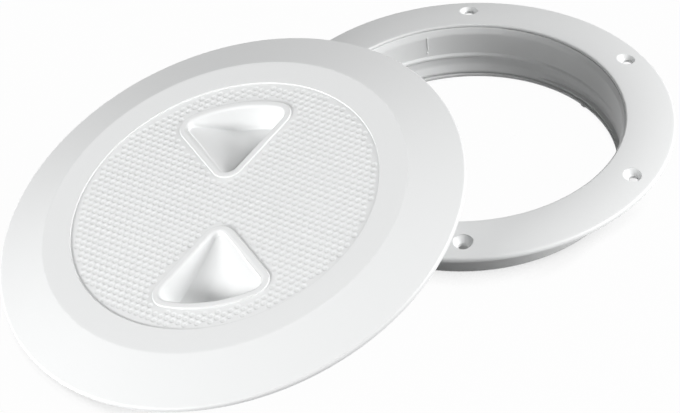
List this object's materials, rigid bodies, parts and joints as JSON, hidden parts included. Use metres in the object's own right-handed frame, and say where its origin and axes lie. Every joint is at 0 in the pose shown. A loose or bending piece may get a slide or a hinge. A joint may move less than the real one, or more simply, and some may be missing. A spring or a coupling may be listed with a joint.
{
  "type": "round inspection hatch",
  "caption": "Round screw-in inspection hatch of white moulded plastic, base ring with its lift-off cover leaning on it.",
  "frame": {"origin": "on the base ring's axis, in the plane of the flange's underside, where it meets the panel", "axes": "+Z along the ring's axis, out of the panel; +X to the right in the picture, +Y away from the viewer"},
  "size_m": [0.3339, 0.2983, 0.067],
  "materials": {
    "white_plastic": "satin moulded",
    "seal_rubber": "matt"
  },
  "bodies": {
    "ring": {"base_ring": "white_plastic"},
    "seal": {"seal_ring": "seal_rubber"},
    "cover": {"cover": "white_plastic"}
  },
  "joints": [
    {"name": "cover_lift", "type": "slide", "parent": "ring", "child": "seal", "axis": [-0.1996, -0.1346, 0.9706], "range_m": [0, 0.12]},
    {"name": "cover_turn", "type": "hinge", "parent": "seal", "child": "cover", "pos_m": [-0.11291, -0.07616, 0.00827], "axis": [-0.1996, -0.1346, 0.9706], "continuous": true}
  ]
}
